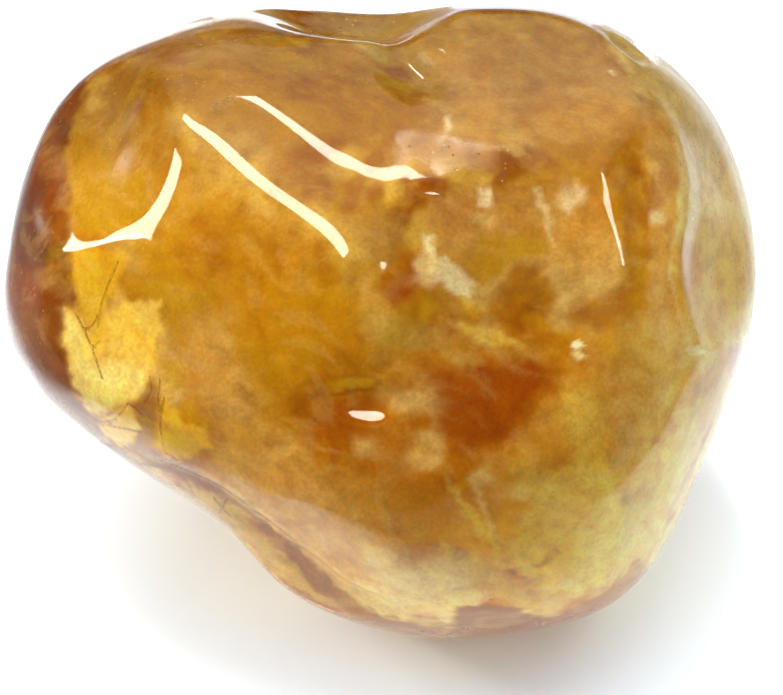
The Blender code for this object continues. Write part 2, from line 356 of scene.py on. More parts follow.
# Marks on the front: name, paint, how fully it covers, half width, softness and the
# line it follows in the front view, in millimetres from the middle of the frame
MARKS = (
    ("cheek_gold", "gold_deep", 0.6, 1.19, 0.72, ((-9, 4.7), (-8, 1.9))),
    ("cheek_amber", "amber", 0.75, 1.35, 0.80, ((-8.6, 6.9), (-6.4, 4.5), (-3.6, 2.3))),
    ("cheek_upper", "amber", 0.6, 0.80, 0.56, ((-9.6, 10.2), (-7.4, 10.2))),
    ("cheek_top_dark", "rust_light", 0.6, 0.48, 0.36, ((-9.7, 10.2), (-8.4, 10.3))),
    ("amber_pool", "amber", 0.8, 1.35, 0.72, ((-4.8, 1.1), (-4, -2.1))),
    ("amber_pool_core", "amber_deep", 0.5, 0.56, 0.48, ((-5.3, 0.7), (-5.2, -0.9))),
    ("amber_left", "amber_deep", 0.5, 0.56, 0.40, ((-6.6, 1.9), (-5.4, 2.7))),
    ("low_left_pale", "milk", 0.6, 0.36, 0.32, ((-6.6, -4.3), (-5.9, -5.7), (-5, -6.9),
     (-3.6, -8))),
    ("honey_left", "honey", 0.55, 1.03, 0.72, ((-4, -5.3), (-2, -6.9))),
    ("f_pool_top", "amber", 0.6, 0.48, 0.36, ((-4, -2.7), (-2.5, -2.3))),
    ("mid_amber", "amber", 0.6, 1.19, 0.72, ((-2.5, 0.7), (-1.6, -1.7))),
    ("mid_veil", "sage", 0.6, 0.56, 0.40, ((-0.8, 1), (0.5, 0.2))),
    ("low_mid", "honey", 0.7, 1.27, 0.80, ((-2.5, -6.1), (1.1, -6.9))),
    ("low_mid_amber", "amber", 0.5, 0.64, 0.48, ((0.1, -3.7), (0.3, -5.3), (1.9, -6.9))),
    ("low_mid_gold", "amber", 0.6, 0.56, 0.40, ((-0.3, -3.5), (-0.1, -4.6))),
    ("low_milk", "milk", 0.75, 1.11, 0.64, ((-2.5, -9.7), (0.3, -9.7), (2.3, -9.2))),
    ("low_right_milk", "milk", 0.5, 1.83, 1.03, ((10.3, -1.3), (10.7, -4.9), (9.1, -8.4))),
    ("low_right_sage", "sage", 0.6, 0.80, 0.56, ((9.4, -5.3), (9.5, -7.7), (8.8, -9.1))),
    ("low_right_smoke", "smoke", 0.5, 0.36, 0.32, ((9.2, -3.4), (9.5, -4), (9, -4.5))),
    ("right_foot", "milk", 0.4, 0.80, 0.56, ((5.5, -10.1), (8.3, -9.2), (10.3, -7.7))),
    ("right_foot_straw", "straw", 0.5, 0.56, 0.48, ((6.7, -9.4), (8.3, -8.4))),
    ("right_low", "straw", 0.9, 1.0, 0.6, ((5.9, -4.9), (7.5, -2.4), (7.7, -4.6))),
    ("core_gold", "amber", 0.6, 0.72, 0.56, ((5.9, -3.7), (6.7, -4.5))),
    ("frame_side", "rust_light", 0.7, 0.4, 0.2, ((8.6, 7.9), (9.3, 7.3), (9.5, 5.9), (9.5, 3.5),
     (9.3, 1.5))),
    ("frame_top", "amber_deep", 0.7, 0.36, 0.28, ((3.5, 7.5), (5.9, 7.6), (8.3, 7.9), (9.7, 7.8))),
    ("right_honey", "honey", 0.6, 1.03, 0.64, ((8.7, 0.3), (9.9, -0.9))),
    # A painted highlight along the rim of the collar
    ("collar_rim_painted_highlight", "cream", 0.55, 0.14, 0.12,
     ((10.8, 9.4), (11.4, 8.3), (11.6, 6.7), (11.5, 5.1), (11.2, 3.3), (11.4, 1.9), (11.7, 0.7),
      (12.2, -0.2))),
    ("flank_chip", "cream", 0.9, 0.12, 0.08, ((12, 0.1), (12.5, -0.2))),
    ("shoulder", "tan", 0.6, 0.95, 0.56, ((8.3, 11.8), (10.3, 9.8), (9.1, 10.6))),
    ("shoulder_scar", "rust_light", 0.7, 0.40, 0.20, ((8.8, 12.4), (9, 11.2))),
    ("shoulder_scar_2", "ochre", 0.6, 0.48, 0.32, ((9.3, 12), (9.9, 11.4))),
    # A rose painted sheen of reflected light over the top of the right lobe
    ("lobe", "rose", 0.7, 1.99, 0.88, ((3.1, 10.8), (7.5, 10.6))),
    ("lobe_low", "honey", 0.5, 0.88, 0.64, ((3.1, 8.7), (8.3, 8.8))),
    ("hollow", "ochre", 0.85, 0.72, 0.32, ((-2.5, 13.3), (0.1, 12.9), (1.3, 13.3))),
    ("hollow_scar", "rust_light", 0.6, 0.16, 0.12, ((1.4, 12), (2.3, 12.2), (3.8, 12.5))),
    ("hollow_scar_2", "ochre", 0.7, 0.24, 0.16, ((1.6, 12.6), (2.2, 12.8))),
    ("parting", "ochre", 0.7, 0.28, 0.24, ((0.8, 11.8), (1.6, 11), (2.2, 9.9))),
    ("forehead", "amber", 0.75, 1.35, 0.64, ((-6, 10.4), (-2.5, 9.7), (0.3, 8.7))),
    ("forehead_core", "amber_deep", 0.5, 0.72, 0.48, ((-3.6, 10.2), (-0.5, 9.4))),
    ("forehead_side", "amber", 0.6, 0.56, 0.40, ((-7, 10.8), (-5.6, 11))),
    ("forehead_left", "amber_deep", 0.75, 0.8, 0.6, ((-5.8, 10.6), (-3.4, 10.4), (-1.5, 10.3))),
    ("cheek_deep", "amber_deep", 0.75, 0.7, 0.6, ((-7.6, 4.6), (-6.4, 3.1), (-5, 1.6))),
    ("side_deep", "amber_deep", 0.75, 0.6, 0.5, ((-9.2, 3.1), (-7.8, 2.6), (-7, 1.7))),
    # A rose-brown painted sheen of reflected light between the two ridge highlights
    ("band", "rose_brown", 0.6, 0.88, 0.48, ((-7, 9.2), (-4.4, 7.5), (-2, 5.7), (-0.3, 4.3))),
    ("band_fibre", "gold_deep", 0.6, 0.20, 0.16, ((-2, 6.3), (-2.3, 5.3))),
    ("crest_left", "rose_brown", 0.6, 0.56, 0.36, ((-9.6, 11.6), (-8, 11.8), (-5.6, 11.8))),
    ("scar_left", "rust_light", 0.75, 0.20, 0.16, ((-8.3, 12.2), (-7.6, 12))),
    ("scar_left_2", "rust_light", 0.7, 0.16, 0.12, ((-8.1, 12.8), (-7.3, 12.9))),
    ("scar_line", "rust_light", 0.6, 0.08, 0.08, ((-5.2, 12.3), (-3.6, 12.4), (-2.7, 12.5))),
    ("dark_mark", "umber", 0.7, 0.08, 0.06, ((-6.5, 10), (-6.8, 9.7), (-7.1, 9.4))),
    # Painted glints on the shoulder and at the lip
    ("shoulder_painted_glint", "spark", 0.9, 0.09, 0.06, ((11.1, 9.4), (11.2, 9.3))),
    ("lip_painted_glint", "spark", 0.9, 0.09, 0.06, ((8.7, 11), (8.8, 10.9))),
    ("lip_line", "rust_light", 0.7, 0.08, 0.06, ((9.6, 10.2), (10.1, 9.9), (10.6, 9.6))),
    ("low_right_line", "rust_light", 0.6, 0.08, 0.06, ((9.7, -8.5), (9.1, -9.2), (8.3, -10))),
    ("low_right_smudge", "smoke", 0.5, 0.16, 0.14, ((9.3, -5.9), (9.4, -6.4))),
)

# Filled shapes on the front: name, paint, how fully it covers, softness and corners in
# the front view, in millimetres from the middle of the frame. These corners, and the
# lines of the other lists, were picked on the photograph, most of them in its pixels,
# and turned into millimetres.
AREAS = (
    ("band", "band", 0.95, 0.12,
     ((-11.9, 11.4), (-12.2, 9.8), (-12.5, 9.1), (-12.8, 8.3), (-12.9, 7.5), (-12.7, 6.3),
      (-12.7, 5.3), (-12.8, 3.9), (-12.8, 3.3), (-12.6, 2.6), (-12.5, 1.9), (-13, 1.7),
      (-13, 0.9), (-13, 0.1), (-12.8, -0.8), (-12.6, -1.8), (-12.2, -2.6), (-11.7, -3.2),
      (-11.2, -3.8), (-10.7, -4.3), (-11.6, -4.9), (-13.6, -3.7), (-16.2, -1.3), (-16.6, 3.9),
      (-15.6, 7.9), (-14, 10.6), (-12.8, 12))),
    # A mauve painted reflection on the left band
    ("band_painted_reflection", "mauve", 0.5, 0.15,
     ((-13.3, 7.3), (-13, 7.5), (-12.8, 6.3), (-12.8, 5.6), (-13.3, 6.1), (-13.4, 6.7))),
    ("band_dark", "umber", 0.6, 0.25,
     ((-14.1, 3.9), (-12.8, 4), (-13, 3.3), (-13.8, 3.2))),
    ("band_dark_top", "umber", 0.4, 0.25,
     ((-13.3, 9.1), (-12.7, 8.9), (-13, 7.9), (-13.3, 7.9))),
    ("band_lens", "tan", 0.55, 0.08,
     ((-14.38, 2.88), (-13.79, 3.24), (-13.19, 2.96), (-12.71, 2.29), (-12.71, 1.77),
      (-13.19, 1.81), (-13.79, 2.21))),
    ("band_rim", "umber", 0.6, 0.4,
     ((-15.2, 6.9), (-13.9, 6.9), (-13.7, 5.2), (-13.9, 3.4), (-15.3, 3.4))),
    ("band_low", "umber_light", 0.6, 0.4,
     ((-14.8, 1.5), (-13.2, 1.5), (-13, 0.1), (-12.9, -1.1), (-12.4, -2.3), (-13.2, -2.5),
      (-14.4, -0.9))),
    ("nose_gold", "gold_deep", 0.85, 0.18,
     ((-12.2, 9.7), (-12.5, 9.1), (-12.8, 8.2), (-12.9, 7.5), (-12.7, 6.3), (-12.7, 5.3),
      (-12.2, 4.7), (-11.2, 4.4), (-10.2, 4.4), (-9.6, 5.3), (-10, 6.7), (-10.9, 7.1),
      (-11.2, 7.9), (-11.8, 8.3), (-11.9, 9.3))),
    ("nose_tan", "tan", 0.7, 0.25,
     ((-11.8, 9.4), (-11.1, 9.7), (-10.2, 9.4), (-10, 7.9), (-10.4, 7.3), (-11.1, 7.3),
      (-11.8, 7.9))),
    ("nose_back", "ochre", 0.7, 0.25,
     ((-11.6, 10.4), (-10.4, 11.4), (-9.8, 11), (-10.1, 9.8), (-11.2, 9.6))),
    ("nose_side", "amber", 0.6, 0.4,
     ((-10, 9.1), (-9, 8.9), (-8.4, 8.1), (-8.8, 6.9), (-9, 4.3), (-8.2, 3.4), (-9.6, 3.4),
      (-10.4, 4.1), (-9.6, 5.1), (-9.5, 6.7), (-9.9, 7.9))),
    ("side_gold", "gold", 0.9, 0.12,
     ((-12.7, 4), (-10.8, 3.9), (-10.5, 3.4), (-11, 2.5), (-11.4, 1.5), (-11.6, 0.7),
      (-12.2, 1.1), (-12.5, 1.9), (-12.6, 2.6), (-12.8, 3.3))),
    ("side_amber", "amber", 0.6, 0.4,
     ((-10.8, 3.4), (-8, 3.6), (-8.2, 2.5), (-9.6, 1.9), (-10.8, 1.9))),
    ("window", "lemon", 0.95, 0.1,
     ((-12.95, 1.69), (-12.55, 1.41), (-12.16, 0.7), (-11.6, 1.01), (-11.12, 1.57), (-10.4, 1.89),
      (-9.21, 1.89), (-9.17, 0.7), (-9.37, -0.18), (-9.53, -1.09), (-9.69, -1.77),
      (-10.21, -2.17), (-10.8, -2.09), (-11.12, -2.69), (-11.8, -2.65), (-12.16, -2.41),
      (-12.47, -1.77), (-12.75, -0.82), (-12.95, 0.1))),
    ("window_light", "pale_lemon", 0.85, 0.25,
     ((-13, 1.5), (-12.6, 1.2), (-12.2, 0.1), (-11.8, -0.7), (-10.4, -0.6), (-9.7, -0.9),
      (-9.8, -1.8), (-10.8, -2), (-11.2, -2.6), (-11.9, -2.5), (-12.3, -1.9), (-12.7, -0.9),
      (-12.9, 0.1))),
    ("window_shade", "gold", 0.6, 0.15,
     ((-12.6, 1.4), (-11.4, 1.4), (-11.4, 0.9), (-11.9, 0.1), (-12.2, 0.7))),
    ("window_foot", "lemon", 0.95, 0.08,
     ((-11.68, -2.88), (-11.12, -2.81), (-10.72, -2.29), (-10.17, -2.73), (-10.01, -3.28),
      (-10.4, -3.84), (-10.88, -3.84), (-11.44, -3.52))),
    ("window_side", "tan", 0.85, 0.12,
     ((-9.6, -0.9), (-9.2, -1.5), (-9.3, -3.7), (-9.6, -4.4), (-10.3, -3.9), (-9.9, -3.2),
      (-10.2, -2.2))),
    ("patch", "gold", 0.95, 0.1,
     ((-9.21, -2.01), (-8.73, -2.25), (-8.34, -2.69), (-7.94, -3.04), (-7.42, -3.04),
      (-7.1, -3.92), (-7.62, -4.24), (-8.1, -4.48), (-8.97, -4.4), (-9.29, -3.92))),
    ("patch_top", "gold_dull", 0.8, 0.12,
     ((-9.1, -0.6), (-8.4, -0.5), (-8, -0.9), (-8.1, -1.5), (-8.6, -1.7), (-9, -1.5))),
    ("cheek_veil", "rose", 0.7, 0.5,
     ((-8.4, 1.1), (-6.2, 1.5), (-6, -0.5), (-4.6, -3.3), (-2.8, -5.7), (-0.5, -8.5),
      (-2.4, -9.6), (-4.8, -7.7), (-6.2, -6.1), (-8, -4.3), (-7, -3.9), (-7.4, -3), (-8.1, -1.5),
      (-8.4, -0.1))),
    ("middle", "amber", 0.7, 0.6,
     ((-6.6, 4.3), (-2.4, 2.3), (-1.7, 0.7), (-2.4, -2.1), (-3.6, -2.5), (-4.8, -3.3),
      (-5.8, -0.9), (-6.3, 1.1))),
    ("dimple_pool", "burnt", 0.7, 0.4,
     ((-4.2, -2.1), (-2.4, -1.5), (-0.7, -1.5), (-0.3, -3.3), (-2, -3.7), (-3.6, -3.5))),
    ("strait", "burnt", 0.95, 0.3,
     ((-0.5, 2.9), (0.3, 3.9), (1.5, 3.4), (1.7, 2.3), (0.9, 1.2), (-0.3, 1.9))),
    ("gully", "burnt", 0.95, 0.2,
     ((0.4, 5.3), (0.8, 6.3), (1.3, 6.7), (2.1, 6.7), (1.5, 5.9), (0.9, 5.3), (0.5, 4.7))),
    ("eye", "rose", 0.75, 0.3,
     ((0.9, 5.3), (1.9, 6.3), (4.3, 6.5), (6.7, 6.7), (8.3, 5.9), (8.8, 3.1), (6.7, 2.5),
      (5.5, 3.4), (4.3, 3.9), (3.1, 3.9), (1.9, 4.1))),
    ("crown", "burnt", 0.9, 0.25,
     ((3.4, 7.5), (4.3, 7.9), (5.3, 7.9), (6.3, 7.9), (6.7, 7.3), (5.5, 7.1), (4.7, 6.7),
      (3.7, 7))),
    ("eye_gold", "gold_deep", 0.8, 0.2,
     ((3.1, 3.4), (3.5, 4.5), (4.3, 4.6), (5.9, 4.4), (6.3, 3.9), (4.7, 3.4), (3.9, 2.5),
      (3.2, 2.7))),
    ("upper_dark", "burnt", 0.9, 0.25,
     ((3.5, 1.2), (4.3, 2.3), (4.9, 3.4), (6.1, 3.3), (6.5, 1.9), (6.2, 1.1), (5.3, 0.5),
      (4.3, 0.9))),
    ("right_dark", "burnt", 0.75, 0.25,
     ((6.7, 1.4), (7.9, 1.9), (9.3, 2.5), (9.8, 2.3), (9.5, 1.4), (8.3, 0.9), (7.1, 0.8))),
    ("core", "burnt", 0.95, 0.45,
     ((1.3, -1.1), (3.1, -0.7), (5.1, -0.5), (6.5, -0.9), (5.7, -2.1), (5.1, -3.3), (4.3, -4),
      (2.9, -4.1), (2.1, -3.3), (1.9, -2.1))),
    ("leaf_left", "sage", 0.6, 0.25,
     ((-1.1, 1.1), (0.3, 1.2), (1.7, 0.9), (2.7, 0.1), (1.1, -0.3), (-0.1, 0.1))),
    ("leaf_right", "honey", 0.5, 0.2,
     ((3.5, -0.1), (5.9, 0.1), (6.7, -0.2), (6.1, -0.7), (4.3, -0.6))),
    ("leaf", "straw", 0.85, 0.08,
     ((2.25, 1.01), (3.44, 0.94), (4.32, 0.7), (5.11, 0.22), (5.31, -0.02), (4.32, 0.06),
      (3.32, 0.18), (2.92, 0.5))),
    ("leaf_low", "sage", 0.6, 0.12,
     ((1.5, 0.1), (3.1, -0.2), (3.7, -0.7), (3.1, -0.9), (2.1, -0.4))),
    # A painted highlight in two parts, a brighter tail and a softer head
    ("painted_highlight_tail", "cream", 0.95, 0.1,
     ((1.29, 4.44), (1.57, 4.44), (1.81, 3.8), (2.53, 3.32), (3.36, 2.45), (3.04, 1.97),
      (2.33, 2.21), (1.85, 2.77), (1.45, 3.4))),
    ("painted_highlight_head", "cream", 0.7, 0.15,
     ((0.74, 3.4), (1.29, 3.72), (1.85, 3.24), (2.01, 2.61), (1.53, 2.37), (0.97, 2.69))),
    # A painted highlight and its tail
    ("eye_painted_highlight", "cream", 0.85, 0.09,
     ((3.44, 6.27), (3.92, 6.43), (4.08, 5.87), (3.84, 5.47), (3.44, 5.63))),
    ("eye_painted_highlight_low", "milk", 0.6, 0.1,
     ((3.12, 5.27), (4.12, 5.31), (3.92, 4.99), (3.2, 4.91))),
    ("eye_thread", "cream", 0.55, 0.08,
     ((5.51, 6.27), (5.99, 6.43), (5.99, 5.95), (6.23, 5.47), (6.39, 4.87), (6.47, 4.08),
      (6.27, 4.28), (6.03, 5.27), (5.67, 5.87))),
    # A painted highlight, cream
    ("eye_veil", "cream", 0.55, 0.16,
     ((6.6, 6.3), (7.5, 6.5), (7.8, 5.9), (7.4, 5.6), (7.2, 5.2), (6.7, 5.5), (6.5, 5.9))),
    ("eye_veil_low", "milk", 0.5, 0.15,
     ((5.9, 3.2), (6.6, 3.4), (7.3, 3.3), (7.2, 2.7), (6.4, 2.5))),
    ("eye_dot", "milk", 0.7, 0.1,
     ((6.58, 1.97), (6.94, 2.09), (7.18, 1.65), (6.94, 1.33), (6.62, 1.49))),
    # A painted highlight: a small glint and the paler spot under it
    ("spark", "spark", 1.0, 0.04,
     ((7.14, 0.3), (7.46, 0.38), (7.62, 0.06), (7.3, -0.1))),
    ("painted_glint_low", "cream", 0.85, 0.05,
     ((7.14, -0.18), (7.5, -0.1), (7.82, -0.34), (7.5, -0.54), (7.22, -0.42))),
    ("crown_line", "milk", 0.7, 0.06,
     ((3.8, 7.86), (4.2, 8.06), (5.11, 8.06), (5.31, 7.78), (5.43, 7.46), (5.03, 7.78),
      (4.32, 7.86))),
    ("brow_streak", "cream", 0.75, 0.06,
     ((2.17, 9.13), (2.41, 9.13), (2.25, 8.26), (2.01, 8.02), (1.93, 8.34))),
    ("ellipse", "straw", 0.8, 0.15,
     ((7.7, -4.6), (6.7, -4.8), (5.5, -6.1), (4.9, -7.3), (4.8, -8.3), (5.1, -8.9), (6.1, -9.6),
      (7.1, -9.8), (8.3, -9.3), (9, -7.9), (9.2, -6.5), (8.8, -5.3), (8.3, -4.7))),
    ("ellipse_light", "straw", 0.6, 0.2,
     ((7.3, -5.3), (8.3, -4.9), (8.5, -6.1), (7.9, -6.5))),
    ("ellipse_foot", "pale_straw", 0.5, 0.15,
     ((6.1, -9.6), (7.1, -9.1), (8.3, -7.9), (8.5, -8.5), (7.5, -9.6))),
    ("ellipse_line", "rust_light", 0.5, 0.06,
     ((5.71, -8.65), (6.7, -7.86), (6.78, -8.14), (5.91, -8.93))),
    ("ellipse_line_2", "rust_light", 0.4, 0.06,
     ((6.7, -7.66), (7.7, -6.55), (7.98, -6.39), (7.3, -7.26))),
    ("reed", "straw", 0.7, 0.1,
     ((2.17, -5.27), (2.57, -5.47), (3.12, -6.27), (3.84, -7.26), (4.44, -7.98), (4.24, -8.14),
      (3.52, -7.46), (2.81, -6.66))),
    ("reed_thin", "pale_straw", 0.6, 0.07,
     ((3.12, -5.07), (3.52, -5.67), (3.92, -6.66), (4.32, -7.66), (4.48, -7.86), (3.92, -7.26),
      (3.36, -6.27))),
    ("reed_low", "straw", 0.55, 0.12,
     ((1.9, -7.7), (3.5, -8.5), (5.1, -9.6), (6.7, -10.6), (5.9, -10.8), (4.3, -10), (3.1, -9.3),
      (2.3, -8.5))),
    ("foot_beige", "milk", 0.7, 0.2,
     ((-0.5, -9.1), (1.9, -8.5), (3.1, -9.3), (2.3, -10), (1.9, -10.8), (0.3, -10.8),
      (-1.7, -10.4), (-2.4, -10), (-2, -9.6))),
    ("foot_rim", "umber_light", 0.75, 0.25,
     ((-5.1, -8.5), (-3.6, -9.7), (-1.7, -10.5), (0.3, -10.9), (2.3, -11), (4.3, -10.9),
      (6.7, -10.5), (8.3, -9.9), (9.9, -8.5), (10.7, -9.3), (9.1, -10.9), (6.7, -12.2),
      (2.3, -12.8), (-1.7, -12.4), (-4.4, -10.5))),
    ("foot_chip", "pale_straw", 0.85, 0.06,
     ((2.13, -9.93), (2.73, -9.65), (3.72, -9.65), (3.92, -10.05), (3.52, -10.25), (2.53, -10.29),
      (2.41, -10.76), (2.13, -11.16), (1.85, -10.84))),
    ("foot_brown", "umber_light", 0.9, 0.05,
     ((2.57, -10.29), (3.84, -10.21), (4.32, -10.21), (5.51, -10.6), (6.7, -10.84), (6.7, -11.24),
      (5.11, -11.64), (3.12, -11.72), (1.93, -11.84), (2.53, -11.04))),
    ("strip_rim", "rust_light", 0.8, 0.15,
     ((-10.8, -4.1), (-9.2, -5.3), (-7, -6.9), (-5.2, -8.5), (-2.8, -10), (-0.5, -11),
      (-0.5, -11.8), (-3.6, -11.2), (-6, -9.3), (-8.4, -7.3), (-11.6, -4.7))),
    ("strip_gold", "gold_dull", 0.9, 0.1,
     ((-8.42, -5.27), (-8.02, -5.19), (-7.42, -5.67), (-6.35, -6.07), (-5.55, -6.23),
      (-5.39, -6.62), (-5.83, -6.86), (-5.15, -7.46), (-4.04, -8.45), (-2.45, -9.65),
      (-2.65, -10.05), (-4.04, -9.45), (-5.63, -8.26), (-7.02, -7.06), (-8.02, -6.07))),
    ("crease", "umber_light", 0.8, 0.07,
     ((-10.01, -4.28), (-9.21, -4.56), (-8.02, -4.71), (-7.42, -5.19), (-6.62, -5.67),
      (-5.23, -6.66), (-3.64, -8.06), (-2.05, -9.65), (-0.46, -10.64), (1.93, -11.32),
      (1.85, -11.64), (-0.46, -11.16), (-2.84, -9.85), (-4.64, -7.86), (-6.03, -6.39),
      (-7.42, -5.67), (-8.42, -5.11), (-9.61, -4.71))),
    ("flank", "flank", 0.85, 0.12,
     ((9.9, 10.2), (10.7, 9.6), (11.3, 8.5), (11.6, 7.1), (11.6, 5.5), (11.3, 4.3), (11.3, 3.1),
      (11.6, 1.9), (11.9, 0.7), (12.5, -0.1), (13.9, 0.1), (15.3, 0.7), (15.9, 3.9), (15.1, 7.1),
      (13.5, 9.8), (11.9, 11.8), (9.9, 13), (8.3, 12.6))),
    ("flank_worn", "gold_dull", 0.65, 0.2,
     ((11.7, 4.9), (13.1, 5.3), (14.5, 4.7), (14.7, 3.1), (14.5, 1.9), (13.3, 1.1), (12.9, 0.1),
      (12.1, 0.1), (11.8, 1.1), (11.5, 1.9), (11.3, 3.5))),
    ("flank_amber", "amber", 0.55, 0.15,
     ((11.3, 4.3), (12.3, 4.1), (12.5, 2.7), (12.1, 1.9), (11.6, 1.4), (11.4, 2.5))),
    ("column", "column", 0.6, 0.15,
     ((10.1, 9.8), (10.7, 9.4), (11.2, 8.3), (11.4, 6.7), (11.4, 5.3), (11.2, 4.3), (11, 3.5),
      (11.1, 2.3), (11.4, 1.1), (11.7, -0.5), (11.1, -0.5), (10.5, 0.7), (10.1, 2.3), (10.3, 4.7),
      (10.3, 6.7), (10.1, 8.3))),
    ("column_spot", "cream", 0.5, 0.1,
     ((10.36, 5.39), (10.84, 5.39), (10.84, 4.91), (10.36, 4.91))),
    ("saddle_deep", "amber_deep", 0.6, 0.4,
     ((0.8, 8.4), (2.2, 8.2), (4.1, 8.0), (4.0, 7.2), (2.4, 7.0), (1.0, 7.5))),
    ("flank_rim", "olive", 0.6, 0.06,
     ((14.06, 5.67), (14.34, 4.68), (14.46, 3.48), (14.18, 3.88), (13.79, 4.87))),
)

# Cracks: name and the line it follows in the front view, in millimetres
CRACKS = (
    ("window_crack", ((-12.55, 1.33), (-12.23, 0.7), (-11.92, -0.02), (-11.72, -0.58),
     (-11.52, -1.21))),
    ("window_crack_fork", ((-12.23, 0.7), (-11.92, 0.86), (-11.72, 1.17))),
    ("window_crack_side", ((-11.92, -0.02), (-11.64, 0.22))),
    ("window_edge",
     ((-12.23, -2.57), (-11.6, -2.96), (-11.12, -2.92), (-10.72, -2.57), (-10.48, -2.21),
      (-10.17, -2.41), (-9.89, -2.73))),
    ("window_edge_2", ((-11.44, -3.08), (-10.72, -3.2), (-10.01, -3.36))),
    ("window_edge_3", ((-9.61, -1.21), (-9.53, -1.69), (-9.81, -2.17))),
    ("window_side_crack", ((-9.21, -1.29), (-9.29, -2.01), (-9.17, -2.88))),
    ("patch_edge", ((-9.05, -2.01), (-9.21, -3.08), (-9.05, -4.16), (-8.49, -4.48))),
    ("cheek_crack", ((-10.88, 3.4), (-11.28, 2.49), (-11.56, 1.69), (-11.68, 0.86))),
    ("crease_crack",
     ((-11.6, -3.68), (-10.8, -4.16), (-10.01, -4.6), (-9.13, -4.79), (-8.42, -4.71),
      (-7.7, -5.11), (-6.98, -5.51))),
    ("strip_crack", ((-7.06, -5.99), (-6.74, -6.39), (-6.43, -6.7))),
    ("strip_crack_2", ((-6.58, -6.07), (-6.82, -6.55))),
    ("strip_crack_3", ((-8.26, -5.19), (-7.86, -5.83))),
)

# Worn spots, where the polish is gone: name, how dull, half width, softness and the
# line it follows in the front view, in millimetres
WORN = (
    ("top_hollow", 0.9, 0.75, 0.30, ((-2.6, 13.4), (0.2, 12.9), (1.6, 13.4))),
    ("hollow_scars", 0.8, 0.20, 0.15, ((1.5, 12.6), (2.4, 12.7), (3.9, 12.5))),
    ("parting", 0.5, 0.20, 0.20, ((0.8, 11.8), (1.6, 11.0), (2.2, 9.9))),
    ("scar_left", 0.8, 0.25, 0.15, ((-8.4, 12.2), (-7.5, 12.0))),
    ("scar_left_high", 0.8, 0.20, 0.15, ((-8.1, 12.9), (-7.2, 13.0))),
    ("scar_line", 0.7, 0.08, 0.08, ((-7.4, 12.1), (-5.2, 12.4), (-2.7, 12.5))),
    ("nose_back", 0.45, 1.20, 0.60, ((-11.4, 9.5), (-11.2, 7.4))),
    ("cheek_specks", 0.5, 0.70, 0.50, ((-9.6, 11.0), (-7.2, 10.2))),
    ("shoulder_scar", 0.8, 0.60, 0.25, ((8.6, 12.5), (9.6, 11.2))),
    ("flank", 0.85, 1.60, 0.60, ((11.6, 10.6), (12.9, 8.0), (13.4, 5.0), (13.3, 1.6))),
    ("flank_pit", 0.9, 0.60, 0.25, ((12.5, 2.6), (12.6, 1.0))),
    ("chip", 0.9, 0.15, 0.08, ((12.0, 0.0), (12.5, -0.2))),
    ("bottom_chip", 0.8, 0.40, 0.15, ((2.3, -9.9), (3.7, -9.8))),
    ("bottom_beige", 0.6, 0.60, 0.30, ((-0.6, -10.3), (2.2, -10.4))),
    ("crease", 0.6, 0.12, 0.12, ((-11.5, -3.8), (-8.6, -4.8), (-5.9, -6.1), (-3.6, -7.9))),
    ("brow_saddle", 1.0, 0.6, 0.65, ((1.0, 8.0), (2.4, 7.6), (3.9, 7.6))),
    ("left_rim", 0.6, 0.80, 0.50, ((-13.4, 9.2), (-14.5, 6.0), (-14.7, 3.0), (-14.4, 0.0))),
)


def between(t, start, end, start_slope, end_slope):
    """The place so far along a smooth curve with those ends and slopes, t from 0 to 1."""
    return (
        start * (1 + 2 * t) * (1 - t) ** 2
        + end * t**2 * (3 - 2 * t)
        + start_slope * t * (1 - t) ** 2
        - end_slope * t**2 * (1 - t)
    )


def outline_radius(angle):
    """Distance from the middle to the front outline, on a smooth closed curve."""
    angles, radii = np.array(OUTLINE).T
    turn = 2 * math.pi
    knots = np.radians(angles)
    knots = np.concatenate([knots[-2:] - turn, knots, knots[:2] + turn])
    radii = np.concatenate([radii[-2:], radii, radii[:2]])
    slopes = np.gradient(radii, knots)
    wrapped = np.mod(angle, turn)
    i = np.searchsorted(knots, wrapped, side="right") - 1
    width = knots[i + 1] - knots[i]
    t = (wrapped - knots[i]) / width
    return between(t, radii[i], radii[i + 1], slopes[i] * width, slopes[i + 1] * width)


def swelled_outline(direction):
    """The plain body: the front outline, swelled towards and away from the viewer."""
    x, up, near = direction.T
    across = np.hypot(x, up)
    depth = np.abs(near)
    stretch = (across**FULLNESS + depth**FULLNESS) ** (-1 / FULLNESS)
    angle = np.arctan2(up, x)
    reach = outline_radius(angle) * across * stretch
    half = np.where(near > 0, NEAR_DEPTH, FAR_DEPTH)
    return np.stack([reach * np.cos(angle), reach * np.sin(angle), near * half * stretch], 1)


def soft_least(a, b, rounding):
    """The smaller of two distances, with the corner between them rounded."""
    overlap = np.clip(rounding - np.abs(a - b), 0, None) / rounding
    return np.minimum(a, b) - overlap**3 * rounding / 6


def facing(turn, rise):
    """The unit direction that faces so far right of, and above, the viewer."""
    turn, rise = math.radians(turn), math.radians(rise)
    return np.array(
        [math.cos(rise) * math.sin(turn), math.sin(rise), math.cos(rise) * math.cos(turn)]
    )


def plane_faces(body):
    """Cuts the flat faces into the body."""
    plain = body.copy()
    for _, turn, rise, cut, rounding in FACES:
        normal = facing(turn, rise)
        plane = (plain @ normal).max() - cut
        length = np.linalg.norm(body, axis=1)
        slant = np.maximum(body @ normal / length, LEAST_SLANT)
        body = body * (soft_least(length, plane / slant, rounding) / length)[:, None]
    return body


def soft_corner(distance, rounding):
    """Zero up to a corner and rising evenly after it, with the corner rounded."""
    share = np.clip((distance + rounding) / (2 * rounding), 0, 1)
    return rounding * share**3 * (2 - share) + np.maximum(distance - rounding, 0)


